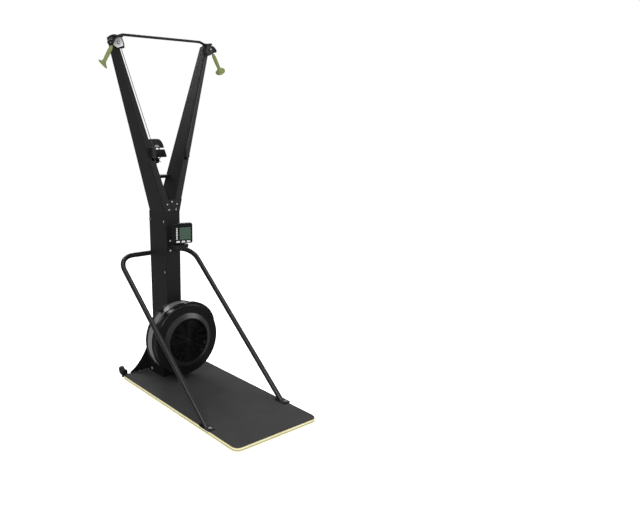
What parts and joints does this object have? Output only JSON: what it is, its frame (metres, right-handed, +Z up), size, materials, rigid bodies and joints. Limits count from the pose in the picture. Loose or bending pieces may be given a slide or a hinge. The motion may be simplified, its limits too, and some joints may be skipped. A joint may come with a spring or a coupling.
{
  "type": "ski ergometer",
  "caption": "Free-standing ski trainer: V-armed column on a plywood platform, fan flywheel with damper lever, swivelling cord handles, monitor, tablet holder and support hoop.",
  "frame": {"origin": "on the floor, under the middle of the platform", "axes": "+X to the right seen from the front, +Y to the rear where the column stands, +Z up"},
  "size_m": [0.8542, 1.278, 2.1063],
  "materials": {
    "powder_coat": "black textured powder coat",
    "plywood": "sealed birch plywood",
    "mat_rubber": "matt rubber mat",
    "rubber": "matt",
    "gloss_plastic": "smooth black",
    "matte_plastic": "fine grain, black",
    "perforated_steel": "satin",
    "steel": "turned",
    "polished_steel": "bright",
    "olive_grip": "soft matt",
    "cord_black": "braided",
    "lcd_glass": "smooth",
    "white_plastic": "smooth"
  },
  "bodies": {
    "frame": {"platform_board": "plywood", "floor_mat": "mat_rubber", "rubber_strip_front": "rubber", "rubber_strip_middle": "rubber", "rubber_strip_rear": "rubber", "wheel_bracket_left": "powder_coat", "wheel_bracket_right": "powder_coat", "base_gusset_left": "powder_coat", "base_gusset_right": "powder_coat", "pedestal_cover": "powder_coat", "column": "powder_coat", "arm_left": "powder_coat", "arm_right": "powder_coat", "junction_plate": "powder_coat", "tie_bar": "powder_coat", "crossbar": "powder_coat", "support_hoop": "powder_coat", "hoop_foot_left": "steel", "hoop_foot_right": "steel", "housing_rear": "matte_plastic", "screen_band": "perforated_steel", "front_cover": "gloss_plastic", "grille": "gloss_plastic", "bearing_front": "steel", "bearing_rear": "steel", "drive_cord_left": "cord_black", "drive_cord_right": "cord_black", "fairlead_left": "matte_plastic", "fairlead_right": "matte_plastic", "swivel_bracket_left": "powder_coat", "swivel_bracket_right": "powder_coat", "monitor_bracket": "powder_coat", "holder_stem": "matte_plastic"},
    "fan": {"fan_wheel": "matte_plastic", "fan_shaft": "steel"},
    "damper": {"damper_ring": "gloss_plastic"},
    "drum_left": {"cord_drum_left": "steel"},
    "drum_right": {"cord_drum_right": "steel"},
    "wheel_left": {"transport_wheel_left": "rubber"},
    "wheel_right": {"transport_wheel_right": "rubber"},
    "swivel_left": {"pulley_housing_left": "matte_plastic", "cheek_plate_left": "polished_steel", "handle_cord_left": "cord_black"},
    "swivel_right": {"pulley_housing_right": "matte_plastic", "cheek_plate_right": "powder_coat", "handle_cord_right": "cord_black"},
    "sheave_left": {"top_sheave_left": "matte_plastic"},
    "sheave_right": {"top_sheave_right": "matte_plastic"},
    "grip_left": {"handle_left": "olive_grip"},
    "grip_right": {"handle_right": "olive_grip"},
    "monitor_yoke": {"monitor_yoke": "powder_coat"},
    "monitor": {"monitor_case": "gloss_plastic", "lcd_window": "lcd_glass"},
    "button_1": {"monitor_button_1": "white_plastic"},
    "button_2": {"monitor_button_2": "white_plastic"},
    "button_3": {"monitor_button_3": "white_plastic"},
    "holder": {"holder_base": "matte_plastic"},
    "holder_jaw": {"holder_jaw": "matte_plastic"},
    "holder_knob": {"holder_knob": "matte_plastic"}
  },
  "joints": [
    {"name": "fan_spin", "type": "hinge", "parent": "frame", "child": "fan", "pos_m": [0, 0, 0.317], "axis": [0, 1, 0], "continuous": true},
    {"name": "damper_turn", "type": "hinge", "parent": "frame", "child": "damper", "pos_m": [0, 0, 0.317], "axis": [0, -1, 0], "range_deg": [0, 78]},
    {"name": "left_swivel", "type": "hinge", "parent": "frame", "child": "swivel_left", "pos_m": [-0.287, 0.448, 2.052], "axis": [0, 0, -1], "range_deg": [-45, 2]},
    {"name": "left_handle_pull", "type": "slide", "parent": "swivel_left", "child": "grip_left", "axis": [-0.5296, 0.0185, -0.848], "range_m": [0, 1], "stiffness_N_per_m": 8, "springref_m": -1, "deforming": ["handle_cord_left"]},
    {"name": "left_sheave_turn", "type": "hinge", "parent": "swivel_left", "child": "sheave_left", "pos_m": [-0.30799, 0.44873, 2.052], "axis": [-0.0349, -0.9994, 0], "range_deg": [0, 2740]},
    {"name": "left_drum_turn", "type": "hinge", "parent": "frame", "child": "drum_left", "pos_m": [0, 0.443, 0.317], "axis": [0, 1, 0], "range_deg": [0, 1780]},
    {"name": "left_wheel_roll", "type": "hinge", "parent": "frame", "child": "wheel_left", "pos_m": [-0.284, 0.643, 0.05], "axis": [1, 0, 0], "continuous": true},
    {"name": "right_swivel", "type": "hinge", "parent": "frame", "child": "swivel_right", "pos_m": [0.287, 0.448, 2.052], "axis": [0, 0, 1], "range_deg": [-45, 2]},
    {"name": "right_handle_pull", "type": "slide", "parent": "swivel_right", "child": "grip_right", "axis": [0.5296, 0.0185, -0.848], "range_m": [0, 1], "stiffness_N_per_m": 8, "springref_m": -1, "deforming": ["handle_cord_right"]},
    {"name": "right_sheave_turn", "type": "hinge", "parent": "swivel_right", "child": "sheave_right", "pos_m": [0.30799, 0.44873, 2.052], "axis": [-0.0349, 0.9994, 0], "range_deg": [0, 2740]},
    {"name": "right_drum_turn", "type": "hinge", "parent": "frame", "child": "drum_right", "pos_m": [0, 0.483, 0.317], "axis": [0, 1, 0], "range_deg": [0, 1780]},
    {"name": "right_wheel_roll", "type": "hinge", "parent": "frame", "child": "wheel_right", "pos_m": [0.284, 0.643, 0.05], "axis": [1, 0, 0], "continuous": true},
    {"name": "monitor_turn", "type": "hinge", "parent": "frame", "child": "monitor_yoke", "pos_m": [0.026, 0.363, 0.9192], "axis": [0, 0, 1], "range_deg": [-15, 32]},
    {"name": "monitor_tilt", "type": "hinge", "parent": "monitor_yoke", "child": "monitor", "pos_m": [0.026, 0.363, 0.9332], "axis": [0.9659, -0.2588, 0], "range_deg": [-12, 12]},
    {"name": "button_1_press", "type": "slide", "parent": "monitor", "child": "button_1", "axis": [0.2588, 0.9659, 0], "range_m": [0, 0.002], "stiffness_N_per_m": 400, "springref_m": -0.003},
    {"name": "button_2_press", "type": "slide", "parent": "monitor", "child": "button_2", "axis": [0.2588, 0.9659, 0], "range_m": [0, 0.002], "stiffness_N_per_m": 400, "springref_m": -0.003},
    {"name": "button_3_press", "type": "slide", "parent": "monitor", "child": "button_3", "axis": [0.2588, 0.9659, 0], "range_m": [0, 0.002], "stiffness_N_per_m": 400, "springref_m": -0.003},
    {"name": "holder_tilt", "type": "hinge", "parent": "frame", "child": "holder", "pos_m": [0, 0.59, 1.421], "axis": [1, 0, 0], "range_deg": [-25, 25]},
    {"name": "jaw_slide", "type": "slide", "parent": "holder", "child": "holder_jaw", "axis": [0, 0, 1], "range_m": [-0.008, 0.022]},
    {"name": "knob_turn", "type": "hinge", "parent": "frame", "child": "holder_knob", "pos_m": [0, 0.59, 1.421], "axis": [1, 0, 0], "continuous": true}
  ],
  "couplings": [
    {"joint": "left_sheave_turn", "follows": "left_handle_pull", "rad_per_m": 47.619},
    {"joint": "left_drum_turn", "follows": "left_handle_pull", "rad_per_m": 30.96},
    {"joint": "right_sheave_turn", "follows": "right_handle_pull", "rad_per_m": 47.619},
    {"joint": "right_drum_turn", "follows": "right_handle_pull", "rad_per_m": 30.96}
  ]
}
